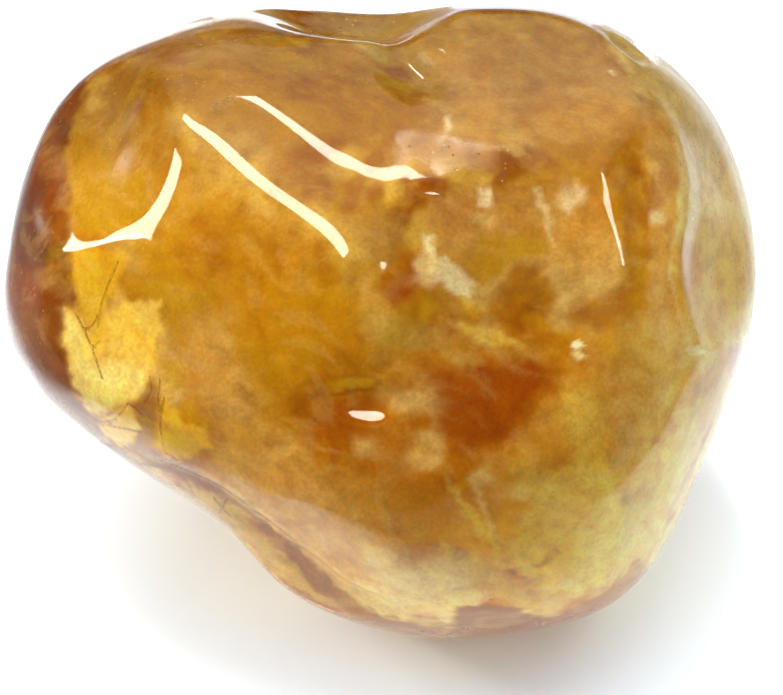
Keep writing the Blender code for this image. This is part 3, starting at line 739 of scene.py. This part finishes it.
def profile_height(across, profile):
    """Height of a fold's profile, straight between its points, with rounded corners."""
    offsets, heights, roundings = np.array(profile).T
    slopes = np.concatenate([[0], np.diff(heights) / np.diff(offsets), [0]])
    height = np.zeros_like(across)
    for offset, change, rounding in zip(offsets, np.diff(slopes), roundings):
        height += change * soft_corner(across - offset, rounding)
    return height


def smooth_path(points, steps=16):
    """A curve through the points, as a fine line."""
    points = np.array(points)
    slopes = np.gradient(points, axis=0)
    t = np.linspace(0, 1, steps, endpoint=False)[:, None]
    line = [between(t, *ends) for ends in zip(points, points[1:], slopes, slopes[1:])]
    return np.concatenate([*line, points[-1:]])


def ease(share):
    """Rises smoothly from 0 to 1."""
    share = np.clip(share, 0, 1)
    return share * share * (3 - 2 * share)


def across_and_along(flat, line):
    """Distance to the left of the line, distance along it, and its whole length."""
    line = np.asarray(line, float)
    steps = np.diff(line, axis=0)
    lengths = np.linalg.norm(steps, axis=1)
    starts = np.concatenate([[0], np.cumsum(lengths)])
    nearest = np.full(len(flat), np.inf)
    across = np.zeros(len(flat))
    along = np.zeros(len(flat))
    for start, step, length, travelled in zip(line, steps, lengths, starts):
        offset = flat - start
        share = np.clip(offset @ step / length**2, 0, 1)
        gap = np.linalg.norm(offset - share[:, None] * step, axis=1)
        side = np.sign(step[0] * offset[:, 1] - step[1] * offset[:, 0])
        closer = gap < nearest
        nearest = np.where(closer, gap, nearest)
        across = np.where(closer, side * gap, across)
        along = np.where(closer, travelled + share * length, along)
    return across, along, starts[-1]


def fold_height(body):
    """How far the folds lift the front of the stone."""
    flat = body[:, :2]
    total = np.zeros(len(body))
    for path, profile, fade in FOLDS.values():
        across, along, whole = across_and_along(flat, smooth_path(path))
        ends = ease(along / fade) * ease((whole - along) / fade)
        total += ends * profile_height(across, profile)
    return total * ease(body[:, 2] / FRONT_FADE)


def dent_depth(body):
    """How far the dents press the stone in."""
    direction = body / np.linalg.norm(body, axis=1)[:, None]
    total = np.zeros(len(body))
    for middle, half_length, half_width, depth, turn in DENTS.values():
        middle = np.array(middle)
        far = np.linalg.norm(middle)
        outward = middle / far
        level = np.cross([0, 0, 1], outward)
        level /= np.linalg.norm(level)
        level *= -np.sign(outward[1])
        rising = np.cross(outward, level)
        turn = math.radians(turn)
        long_side = math.cos(turn) * level + math.sin(turn) * rising
        short_side = np.cross(outward, long_side)
        offset = (direction - outward) * far
        reach = np.hypot(offset @ long_side / half_length, offset @ short_side / half_width)
        same_side = direction @ outward > 0
        total += np.where(same_side, depth * np.exp(-(reach**4)), 0)
    return total


def wave_height(body):
    """The slow unevenness of the polished surface."""
    random = np.random.default_rng(WAVE_SEED)
    total = np.zeros(len(body))
    for length in np.linspace(*WAVE_LENGTHS, WAVES):
        travel = random.normal(size=3)
        travel *= 2 * math.pi / length / np.linalg.norm(travel)
        total += WAVE_HEIGHT * np.sin(body @ travel + random.uniform(0, 2 * math.pi))
    return total


def rest_pose(body):
    """The body tipped back, worn flat below and set on the ground, in millimetres."""
    x, up, near = body.T
    near = near - LEAN * up
    y = up * math.sin(TIP_BACK) - near * math.cos(TIP_BACK)
    z = up * math.cos(TIP_BACK) + near * math.sin(TIP_BACK)
    z = z - z.min() - FLAT_DEPTH
    rounded = np.clip(z + FLAT_ROUNDING, 0, None) ** 2 / (4 * FLAT_ROUNDING)
    return np.stack([x, y, np.where(z < FLAT_ROUNDING, rounded, z)], 1)


def fit_box(points, node):
    """The points in metres, set in the box of the node that they stand for."""
    low, high = (np.array(corner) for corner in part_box(node))
    least = points.min(0)
    return low + (points - least) * (high - low) / (points.max(0) - least)


def fine_sphere(cells):
    """A cube's surface cut in fine squares, and the direction of each of its points."""
    mesh = bpy.data.meshes.new("stone_finish")
    grid = bmesh.new()
    bmesh.ops.create_cube(grid, size=2)
    bmesh.ops.subdivide_edges(
        grid, edges=grid.edges[:], cuts=cells - 1, use_grid_fill=True
    )
    grid.to_mesh(mesh)
    grid.free()
    corners = np.empty(len(mesh.vertices) * 3)
    mesh.vertices.foreach_get("co", corners)
    ray = np.tan(corners.reshape(-1, 3) * math.pi / 4)
    ray /= np.linalg.norm(ray, axis=1)[:, None]
    ahead = FRONT_BIAS * ray[:, 2]
    reach = np.sqrt(ahead**2 + 1 - FRONT_BIAS**2) - ahead
    return mesh, ray * reach[:, None] + [0, 0, FRONT_BIAS]


VIEW_AXES = np.array(
    (
        (1, 0, 0),
        (0, math.sin(TIP_BACK), math.cos(TIP_BACK)),
        (0, -math.cos(TIP_BACK), math.sin(TIP_BACK)),
    )
)


def camera_place(points, distance):
    """Where the camera stands to see the stone framed as in the photograph."""
    seen = points @ VIEW_AXES.T
    place = (seen.min(0) + seen.max(0)) / 2
    place[0] += STONE_LEFT_PIXELS * PIXEL * MM
    place[1] -= STONE_ABOVE_PIXELS * PIXEL * MM
    place[2] = seen[:, 2].mean() + distance
    return place @ VIEW_AXES


def front_view(points, distance):
    """Each point's place in the frame, in millimetres from its middle."""
    offset = (points - camera_place(points, distance)) @ VIEW_AXES.T
    return offset[:, :2] * (-distance / offset[:, 2])[:, None] / MM


def cloud(places, size, octaves=3):
    """Soft noise about 0, in lumps of that size."""
    return np.array([noise.fractal(p, 1.0, 2.0, octaves) for p in places / size])


def drift(places, size):
    """A smooth random shift across the front view, in lumps of that size."""
    return np.array([noise.noise_vector(p)[:2] for p in places / size])


def cover_of(seen, half_width, softness, line):
    """How far a mark along the line covers each place, from 0 to 1."""
    gap = np.abs(across_and_along(seen, line)[0])
    return ease((half_width + softness - gap) / (2 * softness))


def cover_inside(seen, softness, corners):
    """How far a filled shape with those corners covers each place, from 0 to 1."""
    x, up = seen.T
    inside = np.zeros(len(seen), bool)
    for (ax, ay), (bx, by) in zip(corners, (*corners[1:], corners[0])):
        if ay != by:
            edge = ax + (up - ay) * (bx - ax) / (by - ay)
            inside ^= ((ay > up) != (by > up)) & (x < edge)
    gap = np.abs(across_and_along(seen, (*corners, corners[0]))[0])
    return ease(0.5 + np.where(inside, gap, -gap) / (2 * softness))


def paint_over(colour, cover, paint):
    """The colour with the paint laid over it."""
    return colour + cover[:, None] * (paint - colour)


def ground_colour(body, paints):
    """The stone's own clouds of colour, all round."""
    shifts = (0, GROUND_SHIFT, -GROUND_SHIFT)
    clouds = [cloud(body + shift, lumps) for shift, lumps in zip(shifts, GROUND_LUMPS)]
    clouds = np.stack([*clouds, np.ones(len(body))], 1)
    colour = np.tile(paints["honey"], (len(body), 1))
    for paint, strength, shares in GROUND_CLOUDS:
        colour = paint_over(colour, strength * ease(clouds @ shares), paints[paint])
    return colour


def along_grain(bent, turn, lengths):
    """Places measured in those lengths along, across and into a grain that turns up so far."""
    turn = math.radians(turn)
    x, up, near = bent.T
    along = x * math.cos(turn) + up * math.sin(turn)
    across = up * math.cos(turn) - x * math.sin(turn)
    return np.stack([along, across, near], 1) / lengths


def set_in(noise, rise):
    """How fully a cloud covers each place, from 0 to 1."""
    slope, start = rise
    return ease(slope * noise + start)


def cloud_over(colour, body, bent, paints, wisps):
    """Mottles the colour, and lays warm, deep and milky wisps over it."""
    colour *= 1 + MOTTLE * cloud(body, MOTTLE_LUMPS)[:, None]
    warm = set_in(cloud(body + GROUND_SHIFT, VEIL_LUMPS), VEIL_RISE)
    colour = paint_over(colour, VEIL_STRENGTH * warm, colour * WARM_VEIL)
    grain = cloud(along_grain(bent, WISP_TURN, WISP_LENGTHS), 1.0, WISP_OCTAVES)
    colour = paint_over(colour, wisps * set_in(grain, DEEP_RISE), colour * DEEP_WISP)
    return paint_over(colour, MILK_STRENGTH * wisps * set_in(grain, MILK_RISE), paints["milk"])


def paint_points(mesh, body, seen, paints, wisps):
    """Stores each point's colour, clearness, wear and cracks on the mesh."""
    noise.seed_set(DRIFT_SEED)
    colour = ground_colour(body, paints)
    front = ease((body[:, 2] + FRONT_REACH) / FRONT_REACH)
    large, small = DRIFT_LUMPS
    wander = EDGE_DRIFT * (drift(body, large) + drift(body, small) / 2)
    ragged = EDGE_RAG * drift(body, RAG_LUMPS)
    for _, paint, strength, half_width, softness, line in MARKS:
        softness /= EDGE_SHARPNESS
        shifted = seen + ragged + wander * min(1, half_width / BROAD_MARK)
        cover = strength * front * cover_of(shifted, half_width, softness, line)
        colour = paint_over(colour, cover, paints[paint])
    for _, paint, strength, softness, corners in AREAS:
        softness = EDGE_BLUR + softness / EDGE_SHARPNESS
        shifted = seen + ragged + wander * min(1, softness / BROAD_MARK)
        cover = strength * front * cover_inside(shifted, softness, corners)
        colour = paint_over(colour, cover, paints[paint])
    bent = body + GRAIN_BEND * np.array([noise.noise_vector(p) for p in body / BEND_LUMPS])
    colour = cloud_over(colour, body, bent, paints, wisps)
    # Painted light and shade: the top darker, the right-hand side lighter, the foot paler
    for axis, (low, high), change in PAINTED_LIGHT_AND_SHADE:
        share = ease((body[:, axis] - low) / (high - low))
        colour[:, :3] *= 1 + np.array(change) * share[:, None]
    wear = np.zeros(len(body))
    for _, dullness, half_width, softness, line in WORN:
        cover = dullness * front * cover_of(seen + wander, half_width, softness, line)
        wear = np.maximum(wear, cover)
    side = np.full(len(body), CRACK_REACH)
    for _, line in CRACKS:
        across = across_and_along(seen, line)[0]
        side = np.where(np.abs(across) < np.abs(side), across, side)
    side = np.where(front > 0.5, side, CRACK_REACH)
    store(mesh, "tint", "FLOAT_COLOR", "color", colour)
    store(mesh, "wear", "FLOAT", "value", wear)
    store(mesh, "crack_side", "FLOAT", "value", side)
    store(mesh, "crack_gap", "FLOAT", "value", np.abs(side))


def store(mesh, name, kind, field, values):
    """Puts one value for each point on the mesh."""
    attribute = mesh.attributes.new(name, kind, "POINT")
    attribute.data.foreach_set(field, np.ascontiguousarray(values, np.float32).ravel())


class Value:
    """A node's output that Python's operators work on, by adding Math nodes."""

    def __init__(self, shading, socket):
        self.shading = shading
        self.socket = socket

    def maths(self, operation, *terms):
        return self.shading.node("ShaderNodeMath", {"operation": operation}, dict(enumerate(terms)))

    def other(self, name):
        """Another output of the same node."""
        return Value(self.shading, self.socket.node.outputs[name])

    def __add__(self, term):
        return self.maths("ADD", self, term)

    def __radd__(self, term):
        return self.maths("ADD", term, self)

    def __sub__(self, term):
        return self.maths("SUBTRACT", self, term)

    def __rsub__(self, term):
        return self.maths("SUBTRACT", term, self)

    def __mul__(self, term):
        return self.maths("MULTIPLY", self, term)

    def __rmul__(self, term):
        return self.maths("MULTIPLY", term, self)

    def __abs__(self):
        return self.maths("ABSOLUTE", self)


class Shading:
    """A material, and the one way of adding nodes to it."""

    def __init__(self, name):
        self.material = bpy.data.materials.new(name)
        self.material.use_nodes = True
        self.tree = self.material.node_tree
        self.tree.nodes.clear()
        coordinates = self.node("ShaderNodeTexCoord", output="Object")
        self.place = self.node(
            "ShaderNodeVectorMath", {"operation": "SCALE"}, {0: coordinates, "Scale": 1 / MM}
        )

    def node(self, kind, settings=None, inputs=None, output=0):
        """Adds a node: first its settings, then the values or links of its sockets."""
        made = self.tree.nodes.new(kind)
        for name, value in (settings or {}).items():
            setattr(made, name, value)
        for name, value in (inputs or {}).items():
            if isinstance(value, Value):
                self.tree.links.new(value.socket, made.inputs[name])
            else:
                made.inputs[name].default_value = value
        return Value(self, made.outputs[output]) if made.outputs else None

    def attribute(self, name, output="Fac"):
        """A value that the mesh carries."""
        return self.node("ShaderNodeAttribute", {"attribute_name": name}, output=output)

    def lumps(self, size, detail, roughness):
        """Noise from 0 to 1, in lumps of that size in millimetres."""
        inputs = {"Vector": self.place, "Scale": 1 / size, "Detail": detail}
        return self.node("ShaderNodeTexNoise", inputs={**inputs, "Roughness": roughness})

    def cells(self, spacing):
        """Distance from the middle of scattered cells so many millimetres apart."""
        return self.node(
            "ShaderNodeTexVoronoi", inputs={"Vector": self.place, "Scale": 1 / spacing}
        )

    def band(self, value, low, high):
        """Rises smoothly from 0 at low to 1 at high."""
        return self.node(
            "ShaderNodeMapRange",
            {"interpolation_type": "SMOOTHSTEP"},
            {"Value": value, "From Min": low, "From Max": high},
        )

    def scaled(self, colour, amount):
        """The colour times an amount."""
        return self.node(
            "ShaderNodeVectorMath", {"operation": "SCALE"}, {0: colour, "Scale": amount}
        )

    def laid(self, factor, colour, paint):
        """The colour with the paint laid over it."""
        inputs = {"Factor": factor, 6: colour, 7: (*paint[:3], 1)}
        return self.node("ShaderNodeMix", {"data_type": "RGBA"}, inputs, output=2)

    def bump(self, height, relief, strength=1.0):
        """Tilts the surface by a height that is so many millimetres in full."""
        inputs = {"Strength": strength, "Distance": relief * MM, "Height": height}
        return self.node("ShaderNodeBump", inputs=inputs)

    def principled(self, inputs):
        """A surface of that colour, roughness and more."""
        return self.node("ShaderNodeBsdfPrincipled", inputs=inputs)

    def finish(self, surface, volume=None):
        """Joins the surface and the volume to the material's output."""
        inputs = {"Surface": surface}
        if volume:
            inputs["Volume"] = volume
        self.node("ShaderNodeOutputMaterial", inputs=inputs)
        return self.material


def quartz_finish(settings, paints):
    """Polished quartz: cloudy and painted in part, clear amber in part."""
    shading = Shading("honey_quartz_finish")
    tint = shading.attribute("tint", "Color")
    clearness = tint.other("Alpha")
    wear = shading.attribute("wear")
    grain = shading.lumps(*GRAIN_LUMPS)
    cells = shading.cells(SPECK_SPACING)
    spots = shading.band(cells, *SPECK_EDGES)
    chance = shading.band(cells.other("Color"), *SPECK_CHANCE)

    light = settings.brightness + settings.grain * (grain - 0.5)
    colour = shading.scaled(tint, light)
    # Pale specks on the worn grain are painted glints, dark ones are pits
    painted_speck_glints = wear * spots * chance
    colour = shading.laid(PAINTED_SPECK_GLINT_STRENGTH * painted_speck_glints, colour, paints["pale_lemon"])
    pits = wear * spots * (1 - chance)
    colour = shading.laid(PIT_STRENGTH * pits, colour, paints["umber"])

    least, growth = CRACK_WANDER
    wander = settings.crack_width * (least + growth * grain)
    line = shading.band(abs(shading.attribute("crack_side")) - wander, CRACK_SOFTNESS, 0.0)
    line = line * shading.band(shading.attribute("crack_gap"), *CRACK_EDGES)
    line = line * (CRACK_LEFT + (1 - CRACK_LEFT) * shading.band(grain, *CRACK_BREAKS))
    colour = shading.laid(CRACK_STRENGTH * line, colour, paints["umber_light"])

    roughness = settings.polish + WORN_ROUGHNESS * wear + GRAIN_ROUGHNESS * (grain - 0.5)
    bump = shading.bump(GRAIN_HEIGHT * grain * wear - PIT_HEIGHT * pits, settings.relief)
    polished = {"Roughness": roughness, "IOR": settings.ior, "Normal": bump}
    cloudy = shading.principled(
        {
            "Base Color": colour,
            **polished,
            "Subsurface Weight": settings.glow,
            "Subsurface Radius": GLOW_RADIUS,
            "Subsurface Scale": settings.glow_depth * MM,
        }
    )
    clear = shading.principled(
        {"Base Color": CLEAR_COLOUR, **polished, "Transmission Weight": 1.0}
    )
    cloudiness = 1 - settings.clearness * clearness
    surface = shading.node("ShaderNodeMixShader", inputs={0: cloudiness, 1: clear, 2: cloudy})
    volume = shading.node(
        "ShaderNodeVolumeAbsorption",
        inputs={"Color": (*settings.depth_colour, 1), "Density": settings.depth_density},
    )
    return shading.finish(surface, volume)


def floor_finish(colour, glow):
    """Matte paper, a little uneven, with a pool of light painted on its colour and glow around the
    stone.
    """
    shading = Shading("studio_paper")
    fibre = shading.lumps(*FIBRE_LUMPS)
    x = shading.node("ShaderNodeSeparateXYZ", inputs={0: shading.place})
    # The patch is a pool of light painted on the paper's colour and glow
    patch = shading.band(abs(x - PAINTED_POOL_MIDDLE[0]), *reversed(PAINTED_POOL_ACROSS))
    patch = patch * shading.band(abs(x.other("Y") - PAINTED_POOL_MIDDLE[1]), *reversed(PAINTED_POOL_DEEP))
    patch = PAINTED_POOL_OUTSIDE + (1 - PAINTED_POOL_OUTSIDE) * patch
    surface = shading.principled(
        {
            "Base Color": shading.scaled((*colour,), patch * (1 + FIBRE_TINT * (fibre - 0.5))),
            "Roughness": PAPER_ROUGHNESS,
            "Normal": shading.bump(fibre, FIBRE_RELIEF, FIBRE_STRENGTH),
            "Emission Color": shading.scaled(PAPER_GLOW, patch),
            "Emission Strength": glow,
        }
    )
    return shading.finish(surface)


def shade(label, description, default):
    """A colour setting, as the renderer counts it from 0 to 1."""
    return bpy.props.FloatVectorProperty(
        name=label,
        description=description,
        default=default,
        size=3,
        min=0.0,
        max=1.0,
        subtype="COLOR",
    )


def paint(name, red, green, blue):
    """A paint's setting, given as it shows on a screen from 0 to 255."""
    label = name.replace("_", " ").title()
    colour = Color((red / 255, green / 255, blue / 255)).from_srgb_to_scene_linear()
    return shade(label, f"{label} as it shows in the stone", colour[:])


def number(label, description, default, **more):
    """A number setting, from zero up unless more says otherwise."""
    limits = {"min": 0.0, **more}
    return bpy.props.FloatProperty(name=label, description=description, default=default, **limits)


def slider(label, description, default, most=1.0):
    """A number setting that is shown as a slider."""
    return number(label, description, default, max=most, subtype="FACTOR")


class StonePaints(bpy.types.PropertyGroup):
    """The colours in the stone"""

    __annotations__ = {name: paint(name, *shade) for name, (*shade, _) in PAINTS.items()}


class StoneSettings(bpy.types.PropertyGroup):
    """The finish of the stone"""

    polish: slider("Polish", "Roughness of the polished surface", 0.045)
    clearness: slider("Clearness", "How see-through the clear parts are", 0.9, 1.2)
    glow: slider("Glow", "How much light the cloudy parts let in under the surface", 0.5)
    glow_depth: number(
        "Glow Depth", "How deep light goes in the cloudy parts, in millimetres", 2.0
    )
    brightness: number("Brightness", "How bright the paints are in the stone", 1.16)
    wisps: slider("Wisps", "How much milky and deep wisps cloud the stone", 0.3)
    grain: slider("Grain", "How strongly the fine grain shows in the stone", 0.75)
    ior: number("IOR", "How strongly the quartz bends light", 1.54, min=1.0, max=3.0)
    depth_colour: shade(
        "Depth Colour", "Colour that the clear quartz takes with depth", (0.98, 0.9, 0.15)
    )
    depth_density: number(
        "Depth Density", "How fast the clear quartz takes colour with depth, per metre", 250.0
    )
    crack_width: number("Crack Width", "Half width of the fine cracks, in millimetres", 0.03)
    relief: number(
        "Fine Relief",
        "Depth of the pits and the grain where the polish is worn, in millimetres",
        0.05,
    )


class StageSettings(bpy.types.PropertyGroup):
    """The studio around the stone"""

    distance: number(
        "Camera Distance",
        "From the camera to the middle of the stone",
        0.35,
        min=0.05,
        unit="LENGTH",
    )
    floor_glow: number("Floor Glow", "Light that the paper gives off by itself", 0.2)
    floor_colour: shade("Floor", "Colour of the paper that the stone lies on", (0.68, 0.78, 0.9))
    room_light: number("Room Light", "Brightness of the room around the stone", 0.04)
    softbox_light: number("Softbox", "Brightness of the wide light overhead", 0.28)
    paper_light: number(
        "Paper Light", "Brightness of the wide light that is kept to the paper", 1.6
    )
    tube_light: number("Tubes", "Brightness of the narrow lights", 16.0)


def paint_values(paints):
    """Each paint's red, green and blue, with its clearness after them."""
    return {name: np.array((*getattr(paints, name), PAINTS[name][3])) for name in PAINTS}


def shape_and_front_view(cells, distance):
    """The fine mesh, its points in the body's own view, and in the camera's frame."""
    mesh, direction = fine_sphere(cells)
    body = plane_faces(swelled_outline(direction))
    lift = fold_height(body) - dent_depth(body) + wave_height(body)
    worn = body * (1 + lift / np.linalg.norm(body, axis=1))[:, None]
    points = fit_box(rest_pose(worn), "stone")
    mesh.vertices.foreach_set("co", points.ravel())
    mesh.shade_smooth()
    mesh.update()
    return mesh, body, front_view(points, distance)


class STONE_OT_stone(bpy.types.Operator):
    """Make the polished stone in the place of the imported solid"""

    bl_idname = "stone.make_stone"
    bl_label = "Stone"

    def execute(self, context):
        scene = context.scene
        paints = paint_values(scene.stone_paints)
        mesh, body, seen = shape_and_front_view(CELLS, scene.stone_stage.distance)
        paint_points(mesh, body, seen, paints, scene.stone_settings.wisps)
        mesh.materials.append(quartz_finish(scene.stone_settings, paints))
        stone = bpy.data.objects.new("stone_finish", mesh)
        scene.collection.objects.link(stone)
        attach(stone, "root")
        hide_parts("stone")
        return {"FINISHED"}


def add_card(name, start, end, width, brightness, colour):
    """A flat light that stands across the way from one direction to another."""
    ends = [Vector(facing(*side) @ VIEW_AXES) * CARD_DISTANCE for side in (start, end)]
    middle = (ends[0] + ends[1]) / 2
    along = (ends[1] - ends[0]).normalized()
    away = (middle - middle.project(along)).normalized()
    light = bpy.data.lights.new(name, "AREA")
    light.shape = "RECTANGLE"
    light.size = (ends[1] - ends[0]).length
    light.size_y = width
    if name == "softbox":
        light.spread = SOFTBOX_SPREAD
    light.energy = brightness * math.pi * light.size * light.size_y
    light.color = colour
    lamp = bpy.data.objects.new(name, light)
    turned = Matrix((along, away.cross(along), away)).transposed().to_4x4()
    lamp.matrix_world = Matrix.Translation(middle + Vector((0, 0, STONE_MIDDLE))) @ turned
    bpy.context.scene.collection.objects.link(lamp)
    return lamp


class STONE_OT_stage(bpy.types.Operator):
    """Make the floor, the lights and the camera"""

    bl_idname = "stone.make_stage"
    bl_label = "Stage"

    def execute(self, context):
        scene = context.scene
        stage = scene.stone_stage
        bpy.ops.mesh.primitive_plane_add(size=FLOOR_SIZE)
        floor = context.object
        floor.name = "floor"
        floor.data.materials.append(floor_finish(stage.floor_colour, stage.floor_glow))

        wide = {"softbox": stage.softbox_light, "paper_light": stage.paper_light}
        for name, start, end, width, strength, colour in CARDS:
            brightness = wide.get(name, stage.tube_light)
            lamp = add_card(name, start, end, width, brightness * strength, colour)
            if name == "paper_light":
                lit = bpy.data.collections.new("paper_only")
                lit.objects.link(floor)
                lamp.light_linking.receiver_collection = lit

        world = bpy.data.worlds.new("room")
        world.use_nodes = True
        world.node_tree.nodes["Background"].inputs["Color"].default_value = (1, 1, 1, 1)
        world.node_tree.nodes["Background"].inputs["Strength"].default_value = stage.room_light
        scene.world = world
        scene.view_settings.view_transform = "Standard"

        stone = bpy.data.objects["stone_finish"]
        points = np.empty(len(stone.data.vertices) * 3)
        stone.data.vertices.foreach_get("co", points)
        eye = camera_place(points.reshape(-1, 3), stage.distance)
        lens = bpy.data.cameras.new("camera")
        lens.sensor_width = SENSOR_WIDTH
        lens.lens = SENSOR_WIDTH * stage.distance / (FRAME_WIDTH * PIXEL * MM)
        lens.clip_start = CLIP_START
        camera = bpy.data.objects.new("camera", lens)
        camera.matrix_world = (
            Matrix.Translation(eye) @ Matrix(VIEW_AXES.tolist()).transposed().to_4x4()
        )
        scene.collection.objects.link(camera)
        scene.camera = camera
        return {"FINISHED"}


class STONE_PT_panel(bpy.types.Panel):
    """The stone's settings and the buttons that make it"""

    bl_idname = "STONE_PT_panel"
    bl_label = "Tumbled Stone"
    bl_space_type = "VIEW_3D"
    bl_region_type = "UI"
    bl_category = "Stone"

    def draw(self, context):
        scene = context.scene
        for operator, settings in (
            (STONE_OT_stone, scene.stone_settings),
            (STONE_OT_stage, scene.stone_stage),
        ):
            box = self.layout.box()
            box.operator(operator.bl_idname)
            for name in settings.__annotations__:
                box.prop(settings, name)
        box = self.layout.box()
        for name in StonePaints.__annotations__:
            box.prop(scene.stone_paints, name)


CLASSES = (
    StonePaints,
    StoneSettings,
    StageSettings,
    STONE_OT_stone,
    STONE_OT_stage,
    STONE_PT_panel,
)


def register():
    for item in CLASSES:
        bpy.utils.register_class(item)
    bpy.types.Scene.stone_paints = bpy.props.PointerProperty(type=StonePaints)
    bpy.types.Scene.stone_settings = bpy.props.PointerProperty(type=StoneSettings)
    bpy.types.Scene.stone_stage = bpy.props.PointerProperty(type=StageSettings)


def unregister():
    del bpy.types.Scene.stone_stage
    del bpy.types.Scene.stone_settings
    del bpy.types.Scene.stone_paints
    for item in reversed(CLASSES):
        bpy.utils.unregister_class(item)


def main():
    """Makes the stone and its stage."""
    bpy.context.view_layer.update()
    register()
    bpy.ops.stone.make_stone()
    bpy.ops.stone.make_stage()


if __name__ == "__main__":
    main()
